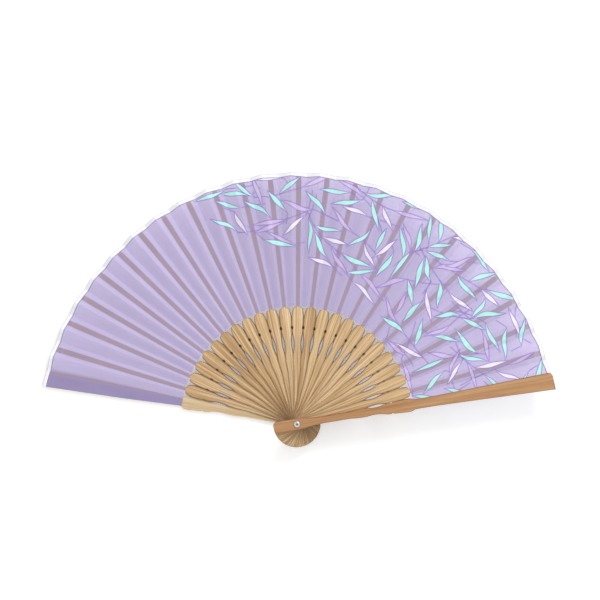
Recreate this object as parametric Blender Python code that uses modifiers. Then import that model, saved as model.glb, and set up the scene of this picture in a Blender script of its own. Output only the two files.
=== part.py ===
"""Folding fan of 23 bamboo sticks and two guards, with a pleated cloth leaf and a rivet.

The pivot stands on +Z and the leaf opens towards +Y. The origin is on the pivot, at the flat
underside of the rivet's back head. Angles are counted from +X, and the sticks are numbered from
the back guard, at the left and at the bottom of the stack, to the front guard, at the right and on
top. Metres, +Z up.
"""

import math

import bmesh
import bpy

MM = 0.001
NAME = "folding_fan"

# Spread of the open fan
INNER_STICKS = 23
GAPS = INNER_STICKS + 1
OPENING = math.radians(160)
PITCH = OPENING / GAPS
BACK_ANGLE = math.radians(90) + OPENING / 2

# Thickness of what lies along the pivot
STICK_T = 0.5 * MM
GUARD_T = 1.8 * MM
STACK_GAP = 0.3 * MM

# Rivet
PIN_R = 1.5 * MM
PIN_CLEARANCE = 0.1 * MM
BACK_HEAD_R = 2.3 * MM
BACK_HEAD_T = 0.7 * MM
BACK_HEAD_EDGE = 0.2 * MM
CAP_R = 2.25 * MM
CAP_RIM = 0.25 * MM
CAP_RISE = 0.85 * MM
CAP_SEAT = 0.4 * MM
SEAT_GAP = 0.1 * MM

# Tail, neck, knuckle and waist, alike on sticks and guards. A half is a half width.
TAIL_X = 17.4 * MM
TAIL_HALF = 4.35 * MM
TAIL_CORNER = 3.2 * MM
PIVOT_HALF = 4.2 * MM
NECK_START_X = 18 * MM
NECK_END_X = 38.5 * MM
NECK_HALF = 2.5 * MM
KNUCKLE_X = 46.5 * MM
KNUCKLE_END_X = 51.4 * MM
KNUCKLE_HALF = 3.2 * MM
WAIST_X = 56 * MM
WAIST_END_X = 59.2 * MM
WAIST_HALF = 2.66 * MM

# Ornamental head
SHOULDER_X = 68.8 * MM
SHOULDER_HALF = 4.15 * MM
NOTCH_X = 70.6 * MM
NOTCH_R = 0.95 * MM
NOTCH_DEPTH = 0.5 * MM
HEAD_START_X = 74 * MM
HEAD_START_HALF = 4.45 * MM
HEAD_X = 79.3 * MM
HEAD_HALF = 4.62 * MM
HEAD_CORNER_HALF = 4.1 * MM
HEAD_CORNER_R = 2.6 * MM
HEAD_END_X = 85.8 * MM
HEAD_ARC_START_DEG = 60

# Rib, the thin strip that carries the cloth
RIB_INNER_HALF = 1.35 * MM
RIB_OUTER_HALF = 2.0 * MM
RIB_END_X = 181.7 * MM
RIB_T = 0.2 * MM
RIB_LIFT = 0.12 * MM
RIB_TIP_END_DEG = 30
SCARF = 0.45 * MM

# Guards from their widest place
GUARD_HEAD_X = 81.3 * MM
GUARD_HEAD_HALF = 4.92 * MM
GUARD_SHOULDER_X = 84 * MM
GUARD_STEP_X = 87.8 * MM
FRONT_STEP_HALF = 3.65 * MM
FRONT_MIDDLE_X = 104 * MM
FRONT_MIDDLE_HALF = 3.7 * MM
FRONT_TIP_X = 190.9 * MM
FRONT_TIP_HALF = 6.4 * MM
FRONT_TIP_SLANT = 0.3 * MM
FRONT_TIP_CORNER = 3.0 * MM
BACK_STEP_HALF = 2.75 * MM
BACK_MIDDLE_X = 130 * MM
BACK_MIDDLE_HALF = 5.0 * MM
BACK_TIP_X = 189.3 * MM
BACK_TIP_HALF = 6.8 * MM
BACK_TIP_CORNER = 0.5 * MM
GUARD_ROUND = 0.45 * MM
GUARD_ROUND_STEPS = 2
SIDE_TURN_DEG = 60
RELIEF = 0.3 * MM
RELIEF_RUN = 1.5 * MM

# Leaf
CLOTH_T = 0.15 * MM
HEM_T = 0.25 * MM
HEM_W = 2.6 * MM
HEM_STEP = 0.2 * MM
LEAF_CLEARANCE = 0.7 * MM
LEAF_OUTER = 185.3 * MM
LEAF_FLARE = 5.0 * MM
FLARE_PITCHES = 5
FLARE_POWER = 1.3
RIM_DIP = 0.9 * MM
FLAP_INNER_HALF = 2.95 * MM
FLAP_BEND_X = 130 * MM
FLAP_BEND_HALF = 5.25 * MM
FLAP_RIM_HALF = 7.1 * MM
GLUED_SHARE = 0.55
GLUED_MARGIN = 0.2 * MM
GLUED_MOST = 0.9
CLOTH_GAP = 0.1 * MM
FOLD_HEIGHT = 2.3 * MM
PACKING_GAP = 0.025 * MM
SEAM_GAP = 0.15 * MM
CLOTH_RINGS = 3

# Fineness of round outlines
TAIL_STEPS = 4
EASE_STEPS = 3
WAIST_STEPS = 2
SHOULDER_STEPS = 4
NOTCH_STEPS = 4
CORNER_STEPS = 3
TIP_STEPS = 2
BORE_SIDES = 12
TURN_STEPS = 24
DOME_STEPS = 5

# Points closer than this are one point
MERGE = 0.001 * MM

# Where things lie
BACK_GUARD_Z = BACK_HEAD_T + STACK_GAP
FIRST_STICK_Z = BACK_GUARD_Z + GUARD_T + STACK_GAP
STICK_RISE = STICK_T + STACK_GAP
FRONT_GUARD_Z = FIRST_STICK_Z + STICK_RISE * INNER_STICKS
CAP_Z = FRONT_GUARD_Z + GUARD_T + STACK_GAP
LEAF_INNER = HEAD_END_X + LEAF_CLEARANCE
GLUED_HALF = PITCH * GLUED_SHARE / 2
LAYER = HEM_T + PACKING_GAP

# Colours as red, green, blue in linear light, with roughness and metallic value
BAMBOO_INNER = ((0.66, 0.46, 0.22), 0.55, 0.0)
BAMBOO_PALE = ((0.72, 0.55, 0.30), 0.55, 0.0)
BAMBOO_DARK = ((0.53, 0.29, 0.14), 0.45, 0.0)
LILAC_CLOTH = ((0.51, 0.45, 0.68), 0.85, 0.0)
WHITE_TAPE = ((0.86, 0.86, 0.88), 0.8, 0.0)
BRIGHT_METAL = ((0.75, 0.76, 0.78), 0.2, 1.0)


def clear_scene():
    """Removes what the file holds, so that the fan stands alone."""
    for old in list(bpy.data.objects):
        bpy.data.objects.remove(old, do_unlink=True)


def make_collection():
    """The collection that the fan's objects go in."""
    collection = bpy.data.collections.new(NAME)
    bpy.context.scene.collection.children.link(collection)
    return collection


def make_material(name, finish):
    """A plain Principled material of one colour, roughness and metallic value."""
    colour, roughness, metallic = finish
    material = bpy.data.materials.new(name)
    material.use_nodes = True
    shader = material.node_tree.nodes["Principled BSDF"]
    shader.inputs["Base Color"].default_value = (*colour, 1.0)
    shader.inputs["Roughness"].default_value = roughness
    shader.inputs["Metallic"].default_value = metallic
    material.diffuse_color = (*colour, 1.0)
    return material


def place(name, mesh, collection, pivot, z=0.0, angle=0.0):
    """One object on the pivot, turned about it and lifted to its place in the stack."""
    made = bpy.data.objects.new(name, mesh)
    made.location = (0, 0, z)
    made.rotation_euler = (0, 0, angle)
    made.parent = pivot
    collection.objects.link(made)
    return made


def support_angle(number):
    """Direction of the back guard (0), a stick (1 to 23) or the front guard (24)."""
    return BACK_ANGLE - PITCH * number


def stick_z(number):
    """Height of a stick's underside."""
    return FIRST_STICK_Z + STICK_RISE * (number - 1)


def arc(centre, radius, start_deg, end_deg, steps):
    """Points along an arc, both ends among them."""
    points = []
    for i in range(steps + 1):
        turn = math.radians(start_deg + (end_deg - start_deg) * i / steps)
        points.append((centre[0] + radius * math.cos(turn), centre[1] + radius * math.sin(turn)))
    return points


def eased(start, end, steps=EASE_STEPS):
    """Points from one half width to another along an ogee, both ends among them."""
    points = []
    for i in range(steps + 1):
        t = i / steps
        ease = t * t * (3 - 2 * t)
        points.append((start[0] + (end[0] - start[0]) * t, start[1] + (end[1] - start[1]) * ease))
    return points


def notch():
    """The round bite in an edge between the shoulder and the head."""
    share = (NOTCH_X - SHOULDER_X) / (HEAD_START_X - SHOULDER_X)
    edge = SHOULDER_HALF + (HEAD_START_HALF - SHOULDER_HALF) * share
    above = NOTCH_R - NOTCH_DEPTH
    start = math.degrees(math.asin(above / NOTCH_R))
    return arc((NOTCH_X, edge + above), NOTCH_R, 180 + start, 360 - start, NOTCH_STEPS)


def tail_to_head():
    """One edge from the tail to the start of the head."""
    tail = arc((TAIL_CORNER - TAIL_X, TAIL_HALF - TAIL_CORNER), TAIL_CORNER, 180, 90, TAIL_STEPS)
    neck = eased((0, PIVOT_HALF), (NECK_START_X, NECK_HALF))
    knuckle = eased((NECK_END_X, NECK_HALF), (KNUCKLE_X, KNUCKLE_HALF))
    waist = eased((KNUCKLE_END_X, KNUCKLE_HALF), (WAIST_X, WAIST_HALF), WAIST_STEPS)
    shoulder = eased((WAIST_END_X, WAIST_HALF), (SHOULDER_X, SHOULDER_HALF), SHOULDER_STEPS)
    head_start = [(HEAD_START_X, HEAD_START_HALF)]
    return tail + neck + knuckle + waist + shoulder + notch() + head_start


def mirrored(edge):
    """The closed outline of an edge and its mirror image, from tail to tip and back."""
    return edge + [(x, -y) for x, y in reversed(edge)]


def stick_outline():
    """An inner stick: tail, neck, waist, head and rib."""
    corner = (HEAD_END_X - HEAD_CORNER_R, HEAD_CORNER_HALF - HEAD_CORNER_R)
    head = [(HEAD_X, HEAD_HALF)] + arc(corner, HEAD_CORNER_R, HEAD_ARC_START_DEG, 0, CORNER_STEPS)
    tip_centre = (RIB_END_X - RIB_OUTER_HALF, 0)
    tip = arc(tip_centre, RIB_OUTER_HALF, 90, RIB_TIP_END_DEG, TIP_STEPS)
    return mirrored(tail_to_head() + head + [(HEAD_END_X, RIB_INNER_HALF)] + tip)


def guard_head(step_half):
    """One edge of a guard's head, from its widest place to the step by the leaf."""
    step = eased((GUARD_SHOULDER_X, GUARD_HEAD_HALF), (GUARD_STEP_X, step_half))
    return [(GUARD_HEAD_X, GUARD_HEAD_HALF)] + step


def front_guard_outline():
    """The front guard, with its tip cut at a slant and the corner by the leaf rounded."""
    side = tail_to_head() + guard_head(FRONT_STEP_HALF) + [(FRONT_MIDDLE_X, FRONT_MIDDLE_HALF)]
    inner_end = FRONT_TIP_X - FRONT_TIP_SLANT
    corner = (inner_end - FRONT_TIP_CORNER, FRONT_TIP_HALF - FRONT_TIP_CORNER)
    tip = arc(corner, FRONT_TIP_CORNER, 90, 0, CORNER_STEPS)
    outer_corner = (FRONT_TIP_X + FRONT_TIP_SLANT, -FRONT_TIP_HALF)
    return side + tip + [outer_corner] + [(x, -y) for x, y in reversed(side)]


def back_guard_outline():
    """The back guard, which hides under the leaf beyond its head."""
    corner = (BACK_TIP_X - BACK_TIP_CORNER, BACK_TIP_HALF - BACK_TIP_CORNER)
    tip = arc(corner, BACK_TIP_CORNER, 90, 0, TIP_STEPS)
    middle = [(BACK_MIDDLE_X, BACK_MIDDLE_HALF)]
    return mirrored(tail_to_head() + guard_head(BACK_STEP_HALF) + middle + tip)


def flat_bar(name, outline, thickness):
    """A flat bar cut to an outline, with the rivet's bore, standing on z = 0."""
    curve = bpy.data.curves.new(name + "_outline", "CURVE")
    curve.dimensions = "2D"
    curve.fill_mode = "BOTH"
    curve.extrude = thickness / 2
    bore = arc((0, 0), PIN_R + PIN_CLEARANCE, 0, 360, BORE_SIDES)[:-1]
    for loop in (outline, bore):
        spline = curve.splines.new("POLY")
        spline.points.add(len(loop) - 1)
        for point, (x, y) in zip(spline.points, loop):
            point.co = (x, y, 0, 1)
        spline.use_cyclic_u = True
    guide = bpy.data.objects.new(name + "_outline", curve)
    bpy.context.scene.collection.objects.link(guide)
    shown = guide.evaluated_get(bpy.context.evaluated_depsgraph_get())
    mesh = bpy.data.meshes.new_from_object(shown)
    mesh.name = name
    bpy.data.objects.remove(guide, do_unlink=True)
    bpy.data.curves.remove(curve)
    bm = bmesh.new()
    bm.from_mesh(mesh)
    bmesh.ops.remove_doubles(bm, verts=bm.verts, dist=MERGE)
    bmesh.ops.translate(bm, verts=bm.verts, vec=(0, 0, thickness / 2))
    bmesh.ops.recalc_face_normals(bm, faces=bm.faces)
    bm.to_mesh(mesh)
    bm.free()
    return mesh


def reshape_beyond(mesh, start_x, end_x, new_z):
    """Cuts a bar across at two places and gives it other heights beyond the second."""
    bm = bmesh.new()
    bm.from_mesh(mesh)
    for x in (start_x, end_x):
        everything = bm.verts[:] + bm.edges[:] + bm.faces[:]
        bmesh.ops.bisect_plane(
            bm, geom=everything, dist=MERGE / 10, plane_co=(x, 0, 0), plane_no=(1, 0, 0)
        )
    for vert in bm.verts:
        if vert.co.x > end_x - MERGE:
            vert.co.z = new_z(vert.co.z)
    bm.to_mesh(mesh)
    bm.free()


def make_stick_mesh():
    """The mesh that all inner sticks share, thinned to a rib beyond the head."""
    mesh = flat_bar("stick", stick_outline(), STICK_T)
    rib_start = HEAD_END_X + (LEAF_CLEARANCE - SCARF) / 2
    reshape_beyond(
        mesh, rib_start, rib_start + SCARF, lambda z: RIB_LIFT + (RIB_T if z > STICK_T / 2 else 0)
    )
    return mesh


def weigh_outer_edges(mesh, face_z):
    """Marks the outline's edges at one face of a guard for rounding, and not the bore's."""
    bm = bmesh.new()
    bm.from_mesh(mesh)
    weight = bm.edges.layers.float.new("bevel_weight_edge")
    bore_reach = PIN_R + 2 * PIN_CLEARANCE
    for edge in bm.edges:
        at_face = all(abs(v.co.z - face_z) < MERGE for v in edge.verts)
        at_bore = all(v.co.xy.length < bore_reach for v in edge.verts)
        at_side = edge.is_manifold and edge.calc_face_angle() > math.radians(SIDE_TURN_DEG)
        edge[weight] = 1.0 if at_face and at_side and not at_bore else 0.0
    bm.to_mesh(mesh)
    bm.free()


def round_outer_face(guard):
    """Rounds the marked edges of a guard."""
    rounding = guard.modifiers.new("rounded_edge", "BEVEL")
    rounding.limit_method = "WEIGHT"
    rounding.width = GUARD_ROUND
    rounding.segments = GUARD_ROUND_STEPS


def make_guard(name, outline, z, angle, outer_face, material, collection, pivot):
    """A guard, relieved on its inner face for the half pleat that is glued to it."""
    mesh = flat_bar(name, outline, GUARD_T)
    relief_end = LEAF_INNER - SEAT_GAP
    inner_face = GUARD_T - outer_face
    relieved = RELIEF if inner_face == 0 else GUARD_T - RELIEF
    reshape_beyond(
        mesh,
        relief_end - RELIEF_RUN,
        relief_end,
        lambda old: relieved if abs(old - inner_face) < GUARD_T / 2 else old,
    )
    weigh_outer_edges(mesh, outer_face)
    mesh.materials.append(material)
    guard = place(name, mesh, collection, pivot, z, angle)
    round_outer_face(guard)
    return guard


def make_sticks(collection, pivot):
    """The inner sticks, one object each on one shared mesh."""
    mesh = make_stick_mesh()
    mesh.materials.append(None)
    for number in range(1, INNER_STICKS + 1):
        name = f"stick_{number:02d}"
        stick = place(name, mesh, collection, pivot, stick_z(number), support_angle(number))
        slot = stick.material_slots[0]
        slot.link = "OBJECT"
        slot.material = make_material(name + "_bamboo", BAMBOO_INNER)


def cloth_level(number):
    """Height of the middle of the cloth where it is glued to a stick or a guard."""
    if number == 0:
        return BACK_GUARD_Z + GUARD_T - RELIEF + CLOTH_GAP + CLOTH_T / 2
    if number == GAPS:
        return FRONT_GUARD_Z + RELIEF - CLOTH_GAP - CLOTH_T / 2
    return stick_z(number) + RIB_LIFT + RIB_T + CLOTH_GAP + CLOTH_T / 2


def fold_at(radius):
    """How far a fold stands off the glued cloth at a radius."""
    return FOLD_HEIGHT * radius / LEAF_OUTER


def mountain(number, radius):
    """Height of the fold towards the viewer, low enough to pack under the front guard."""
    if number in (0, GAPS):
        return cloth_level(number)
    ceiling = cloth_level(GAPS) - (GAPS - number) * LAYER
    return min(cloth_level(number) + fold_at(radius), ceiling)


def valley(number, radius):
    """Height of the fold away from the viewer, high enough to pack over the back guard."""
    floor = cloth_level(0) + number * LAYER
    return max(cloth_level(number) - fold_at(radius), floor)


def glued_edge(radius):
    """Half the angle over which the cloth lies flat on its rib."""
    along = (radius - HEAD_END_X) / (RIB_END_X - HEAD_END_X)
    half = RIB_INNER_HALF + (RIB_OUTER_HALF - RIB_INNER_HALF) * along + GLUED_MARGIN
    return min(half / radius, GLUED_HALF * GLUED_MOST)


def rim_radius(number, offset):
    """Radius of the leaf's rim, which flares out to both guards and dips at each valley."""
    from_back = PITCH * number + offset
    from_end = max(0.0, min(from_back, OPENING - from_back))
    near = max(0.0, 1 - from_end / (PITCH * FLARE_PITCHES))
    down = max(0.0, (offset + GLUED_HALF) / (2 * GLUED_HALF))
    up = (PITCH - GLUED_HALF - offset) / (PITCH - 2 * GLUED_HALF)
    return LEAF_OUTER + LEAF_FLARE * near**FLARE_POWER - RIM_DIP * min(down, up)


def flap_edge(radius):
    """Angle from the back guard's middle to the edge of the half pleat that covers it."""
    if radius < FLAP_BEND_X:
        start, end = (LEAF_INNER, FLAP_INNER_HALF), (FLAP_BEND_X, FLAP_BEND_HALF)
    else:
        start, end = (FLAP_BEND_X, FLAP_BEND_HALF), (LEAF_OUTER, FLAP_RIM_HALF)
    share = (radius - start[0]) / (end[0] - start[0])
    return (start[1] + (end[1] - start[1]) * share) / radius


def fold_line(number, radius, with_gap):
    """The pleat's section at a radius, as (angle clockwise from its stick, height)."""
    level = cloth_level(number)
    flat = glued_edge(radius)
    start = GLUED_HALF if number > 0 else flap_edge(radius)
    line = [(-start, mountain(number, radius)), (-flat, level), (flat, level)]
    if number < GAPS:
        line.append((GLUED_HALF, valley(number, radius)))
    else:
        line.append((GLUED_HALF, level))
    if with_gap:
        line.append((PITCH - GLUED_HALF, mountain(number + 1, radius)))
    return line


def towards(point, other, radius, distance):
    """A point of the section moved along the cloth towards its neighbour."""
    run = (other[0] - point[0]) * radius
    share = distance / math.hypot(run, other[1] - point[1])
    return tuple(a + (b - a) * share for a, b in zip(point, other))


def pleat_rings(number, column_angle):
    """Radii of a pleat's rings along one fold line, from the inner edge to the rim."""
    rim = rim_radius(number, column_angle)
    hem = rim - HEM_W
    depth = hem - HEM_STEP - LEAF_INNER
    plain = [LEAF_INNER + depth * i / CLOTH_RINGS for i in range(CLOTH_RINGS + 1)]
    return plain + [hem, rim]


def make_pleat(name, number, materials, collection, pivot):
    """One pleat: the panel glued to its stick, and the free panel on to the next stick."""
    has_free_panel = number < GAPS
    level = cloth_level(number)
    columns = len(fold_line(number, LEAF_INNER, has_free_panel))
    bm = bmesh.new()
    grid = []
    for column in range(columns):
        angle = fold_line(number, LEAF_OUTER, has_free_panel)[column][0]
        verts = []
        for radius in pleat_rings(number, angle):
            line = fold_line(number, radius, has_free_panel)
            point = line[column]
            if column == 0 and number > 0:
                point = towards(point, line[1], radius, SEAM_GAP)
            if column == columns - 1 and has_free_panel:
                point = towards(point, line[column - 1], radius, SEAM_GAP)
            offset, height = point
            x, y = radius * math.cos(offset), -radius * math.sin(offset)
            verts.append(bm.verts.new((x, y, height - level)))
        grid.append(verts)
    for left, right in zip(grid, grid[1:]):
        for ring in range(len(left) - 1):
            face = bm.faces.new((left[ring], right[ring], right[ring + 1], left[ring + 1]))
            face.material_index = 1 if ring == len(left) - 2 else 0
    bmesh.ops.recalc_face_normals(bm, faces=bm.faces)
    mesh = bpy.data.meshes.new(name)
    bm.to_mesh(mesh)
    bm.free()
    for material in materials:
        mesh.materials.append(material)
    pleat = place(name, mesh, collection, pivot, level, support_angle(number))
    hem = pleat.vertex_groups.new(name="hem")
    rings = len(grid[0])
    hem.add([c * rings + r for c in range(columns) for r in (rings - 2, rings - 1)], 1.0, "REPLACE")
    cloth = pleat.modifiers.new("cloth", "SOLIDIFY")
    cloth.thickness = HEM_T
    cloth.offset = 0.0
    cloth.use_even_offset = True
    cloth.vertex_group = hem.name
    cloth.thickness_vertex_group = CLOTH_T / HEM_T
    return pleat


def make_leaf(collection, pivot):
    """The pleats, each on its stick, and the last half pleat under the front guard."""
    for number in range(GAPS + 1):
        name = f"leaf_pleat_{number + 1:02d}" if number < GAPS else "leaf_end_flap"
        cloth = make_material(name + "_cloth", LILAC_CLOTH)
        tape = make_material(name + "_tape", WHITE_TAPE)
        make_pleat(name, number, (cloth, tape), collection, pivot)


def turned(name, profile, z, material, collection, pivot):
    """A turned piece on the pivot. Its profile runs down the outer side."""
    mesh = bpy.data.meshes.new(name)
    bm = bmesh.new()
    verts = [bm.verts.new((radius, 0, height)) for radius, height in profile]
    for first, second in zip(verts, verts[1:]):
        bm.edges.new((first, second))
    bm.to_mesh(mesh)
    bm.free()
    mesh.materials.append(material)
    made = place(name, mesh, collection, pivot, z)
    screw = made.modifiers.new("turning", "SCREW")
    screw.steps = TURN_STEPS
    screw.render_steps = TURN_STEPS
    screw.use_merge_vertices = True
    screw.merge_threshold = 0.01 * MM
    screw.use_smooth_shade = True
    return made


def make_rivet(collection, pivot):
    """The rivet: a pin with its flat back head, and the domed cap on its other end."""
    pin_top = CAP_Z + CAP_SEAT - SEAT_GAP
    pin = [
        (0, pin_top),
        (PIN_R, pin_top),
        (PIN_R, BACK_HEAD_T),
        (BACK_HEAD_R - BACK_HEAD_EDGE, BACK_HEAD_T),
        (BACK_HEAD_R, BACK_HEAD_T - BACK_HEAD_EDGE),
        (BACK_HEAD_R, BACK_HEAD_EDGE),
        (BACK_HEAD_R - BACK_HEAD_EDGE, 0),
        (0, 0),
    ]
    metal = make_material("rivet_metal", BRIGHT_METAL)
    turned("pivot_rivet", pin, 0, metal, collection, pivot)
    dome = []
    for i in range(DOME_STEPS + 1):
        turn = math.radians(90 * i / DOME_STEPS)
        dome.append((CAP_R * math.sin(turn), CAP_RIM + CAP_RISE * math.cos(turn)))
    bore = PIN_R + SEAT_GAP
    cap = dome + [(CAP_R, 0), (bore, 0), (bore, CAP_SEAT), (0, CAP_SEAT)]
    turned("rivet_cap", cap, CAP_Z, make_material("cap_metal", BRIGHT_METAL), collection, pivot)


def main():
    clear_scene()
    collection = make_collection()
    pivot = bpy.data.objects.new("pivot_axis", None)
    pivot.empty_display_size = LEAF_INNER
    collection.objects.link(pivot)
    make_guard(
        "back_guard",
        back_guard_outline(),
        BACK_GUARD_Z,
        support_angle(0),
        0,
        make_material("back_guard_bamboo", BAMBOO_PALE),
        collection,
        pivot,
    )
    make_sticks(collection, pivot)
    make_guard(
        "front_guard",
        front_guard_outline(),
        FRONT_GUARD_Z,
        support_angle(GAPS),
        GUARD_T,
        make_material("front_guard_bamboo", BAMBOO_DARK),
        collection,
        pivot,
    )
    make_leaf(collection, pivot)
    make_rivet(collection, pivot)


main()
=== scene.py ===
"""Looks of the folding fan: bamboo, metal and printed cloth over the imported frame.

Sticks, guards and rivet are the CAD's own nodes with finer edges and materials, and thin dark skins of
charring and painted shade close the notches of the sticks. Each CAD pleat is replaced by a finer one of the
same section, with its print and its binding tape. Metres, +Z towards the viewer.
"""

import cmath
import math
import random

import bpy
import numpy as np
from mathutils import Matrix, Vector
from mathutils.geometry import delaunay_2d_cdt


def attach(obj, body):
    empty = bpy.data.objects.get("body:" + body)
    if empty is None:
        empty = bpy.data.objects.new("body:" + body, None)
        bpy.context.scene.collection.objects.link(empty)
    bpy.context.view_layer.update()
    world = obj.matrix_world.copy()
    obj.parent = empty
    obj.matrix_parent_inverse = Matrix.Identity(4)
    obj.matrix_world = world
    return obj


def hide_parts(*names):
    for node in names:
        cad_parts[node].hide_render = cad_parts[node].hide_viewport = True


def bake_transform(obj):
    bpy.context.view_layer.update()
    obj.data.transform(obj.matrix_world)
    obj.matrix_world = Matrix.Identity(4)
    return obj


MM = 0.001

# The CAD's sizes that the leaf follows
INNER_STICKS = 23
GAPS = INNER_STICKS + 1
OPENING = math.radians(160)
PITCH = OPENING / GAPS
BACK_ANGLE = math.radians(90) + OPENING / 2
BACK_GUARD_Z = 1.0 * MM
GUARD_T = 1.8 * MM
FIRST_STICK_Z = 3.1 * MM
STICK_RISE = 0.8 * MM
FRONT_GUARD_Z = FIRST_STICK_Z + STICK_RISE * INNER_STICKS
HEAD_END_X = 85.8 * MM
RIB_INNER_HALF = 1.35 * MM
RIB_OUTER_HALF = 2.0 * MM
RIB_END_X = 181.7 * MM
RIB_T = 0.2 * MM
RIB_LIFT = 0.12 * MM
RELIEF = 0.3 * MM
CLOTH_T = 0.15 * MM
HEM_T = 0.25 * MM
HEM_W = 2.6 * MM
HEM_STEP = 0.2 * MM
LEAF_INNER = 86.5 * MM
LEAF_OUTER = 185.3 * MM
LEAF_FLARE = 5.0 * MM
FLARE_PITCHES = 5
FLARE_POWER = 1.3
RIM_DIP = 0.9 * MM
FLAP_INNER_HALF = 2.95 * MM
FLAP_BEND_X = 130 * MM
FLAP_BEND_HALF = 5.25 * MM
FLAP_RIM_HALF = 7.1 * MM
GLUED_SHARE = 0.55
GLUED_HALF = PITCH * GLUED_SHARE / 2
GLUED_MARGIN = 0.2 * MM
GLUED_MOST = 0.9
CLOTH_GAP = 0.1 * MM
FOLD_HEIGHT = 2.3 * MM
LAYER = 0.275 * MM

# The finer pleat
FOLD_ROUND = 0.35 * MM
CLOTH_ROWS = 15
DOUBLED_COLUMNS = 4
NEST_LOW = 0.2 * MM
NEST_HIGH = 0.3 * MM
SEAM_LINE = 0.3 * MM
RIM_ROUND = 0.4 * MM
RIM_THIN = 0.35
CLOSE_SHARE = 0.4
CDT_EPSILON = 1e-6
SHARP_EDGE = math.radians(50)

# Print, in millimetres
PRINT_SEED = 5
PRINT_ANGLES = (5, 116)
PRINT_OVER = 2
PRINT_STRAY = 2
TWIG_TRIES = 1500
TWIG_CURLS = (-0.022, 0.022)
TWIG_GAPS = (7.0, 11.0)
TWIG_NODES = (2, 3, 4, 4)
TWIG_STEPS = 4
TWIG_LEANS = (16, 60)
END_LEAN_PART = 4
FILL_TRIES = 1500
LEAF_TRIES = 5
LEAF_STALK = 1.0
LEAF_BENDS = (-0.065, 0.065)
LEAF_BELLIES = (0.75, 1.15)
STALK_BENDS = (-0.04, 0.04)
STALK_POINTS = (5, 10)
LINE_HALF = 0.28
OUTLINE = 0.5
BLADE_STEPS = 9
SPINE_POINTS = 9
ROOM_POWER = 0.7
NEIGHBOUR = 6.9
NEIGHBOUR_TURN = math.radians(24)
NEIGHBOUR_POINTS = 4
VIOLET_TURN_SHARE = 0.4
# Kind of leaf: least and most length, least and most width, room beside its middle and its ends
LEAF_KINDS = {
    "mint": (18, 25, 2.4, 3.4, 1.8, 0.5),
    "pale": (18, 24, 2.1, 2.9, 1.8, 0.5),
    "violet": (18, 26, 2.2, 3.1, 1.3, 0.2),
}
KIND_SHARES = {"mint": 0.56, "pale": 0.19, "violet": 0.25}
# Angle in degrees, and how far in from the rim the print reaches there
PRINT_DEPTHS = [
    (5, 100), (46, 100), (52, 84), (60, 76), (72, 74),
    (82, 64), (96, 56), (104, 42), (111, 30), (117, 4),
]

# Cloth: thread spacing, and the grain of its streaks and clouds across and along a pleat
THREAD = 0.42 * MM
STREAKS = (0.9 * MM, 30 * MM, 1)
CLOUDS = (11 * MM, 40 * MM, 1)
STREAK_SHARE = 0.4
CLOTH_TONES_AT = (0.36, 0.64)
WEAVE_HEIGHT, CLOUD_HEIGHT = 0.25, 5.0
RIB_EDGE_SOFT = 0.25 * MM
RIB_END_SOFT = 0.6 * MM
DOUBLED_TO = 2.2 * MM
STRIPE_TO = 5.0 * MM
STRIPE_SOFT = 0.35 * MM
# Two tones of the plain cloth, then the last pleat of each stretch, how much darker it is, and how much of a
# rib shows through it
LILAC = ((206, 193, 234), (216, 203, 243))
LILAC_ALPHA = 0.56
LILAC_STRETCHES = [(7, 0, 0.45), (9, 4, 0.43), (14, 8, 0.40), (17, 5, 0.36), (24, 3, 0.33)]
OVER_RIB = (166, 140, 119)
PAST_RIB = (168, 144, 171)
STRIPE = (172, 154, 180)
BESIDE_STRIPE = (186, 172, 206)

# Bamboo: grain along, across and through a stick, and the three tones of each piece
FIBRES = (50 * MM, 0.9 * MM, 2 * MM)
BANDS = (160 * MM, 3 * MM, 10 * MM)
PORES = (6 * MM, 0.28 * MM, 2 * MM)
FIBRE_SHARE = 0.72
TONES_AT = (0.36, 0.50, 0.64)
PORES_AT = (0.62, 0.74)
PORE_TONE = 0.55
PORE_SHARE = 0.30
PORE_DEPTH = 0.5
SMOOTHER, ROUGHER = 0.08, 0.12
SEED_SHIFT = (0.31, 0.17)
STICK_SEED = 7
STICK_TONES = ((173, 133, 86), (208, 173, 128), (238, 209, 167))
SHADE_STEPS = ((8, 8, 8), (7, 8, 8), (5, 6, 7))
WARM_STEP = 2
# The sticks get lighter from this share of the fan on
LIGHTER_FROM, LIGHTER_BY = 0.6, 0.5
# Darker tones of the eased edges, partly the cut edges' own brown and partly painted shade along them
EDGE_TONES = ((138, 98, 58), (160, 118, 74), (182, 140, 92))
BACK_TONES = ((200, 170, 128), (217, 190, 150), (232, 210, 174))
BACK_EDGE_TONES = ((170, 140, 96), (190, 160, 112), (205, 176, 128))
FRONT_TONES = ((170, 121, 80), (187, 141, 97), (203, 160, 117))
FRONT_EDGE_TONES = ((146, 98, 60), (166, 118, 78), (184, 138, 96))
FRONT_ROUGHNESS = 0.42
EDGE_SEED, BACK_SEED, FRONT_SEED = 40, 60, 80
EASED_FROM = math.radians(35)
STICK_EASED, BACK_EASED, FRONT_EASED = 0.13 * MM, 0.2 * MM, 0.12 * MM
WELD_WITHIN = 0.002 * MM

# Outlines in millimetres, as pairs of a place along a stick and the half width there, as in the CAD
TAIL = [(-17.4, 1.15), (-16.9, 2.87), (-16, 3.8), (-14.2, 4.35)]
PIVOT, NECK, NECK_END = (0, 4.2), (18, 2.5), (38.5, 2.5)
KNUCKLE, KNUCKLE_END = (46.5, 3.2), (51.4, 3.2)
WAIST, WAIST_END, SHOULDER = (56, 2.66), (59.2, 2.66), (68.8, 4.15)
HEAD_START = (74, 4.45)
STICK_HEAD = [(79.3, 4.62), (84.5, 3.75), (85.45, 2.8), (85.8, 1.5), (86.4, 1.5), (86.6, 5)]
GUARD_HEAD = [(81.3, 4.92), (84, 4.92), (85.9, 4.3), (87.8, 3.65), (104, 3.7), (190.9, 6.4)]
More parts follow.
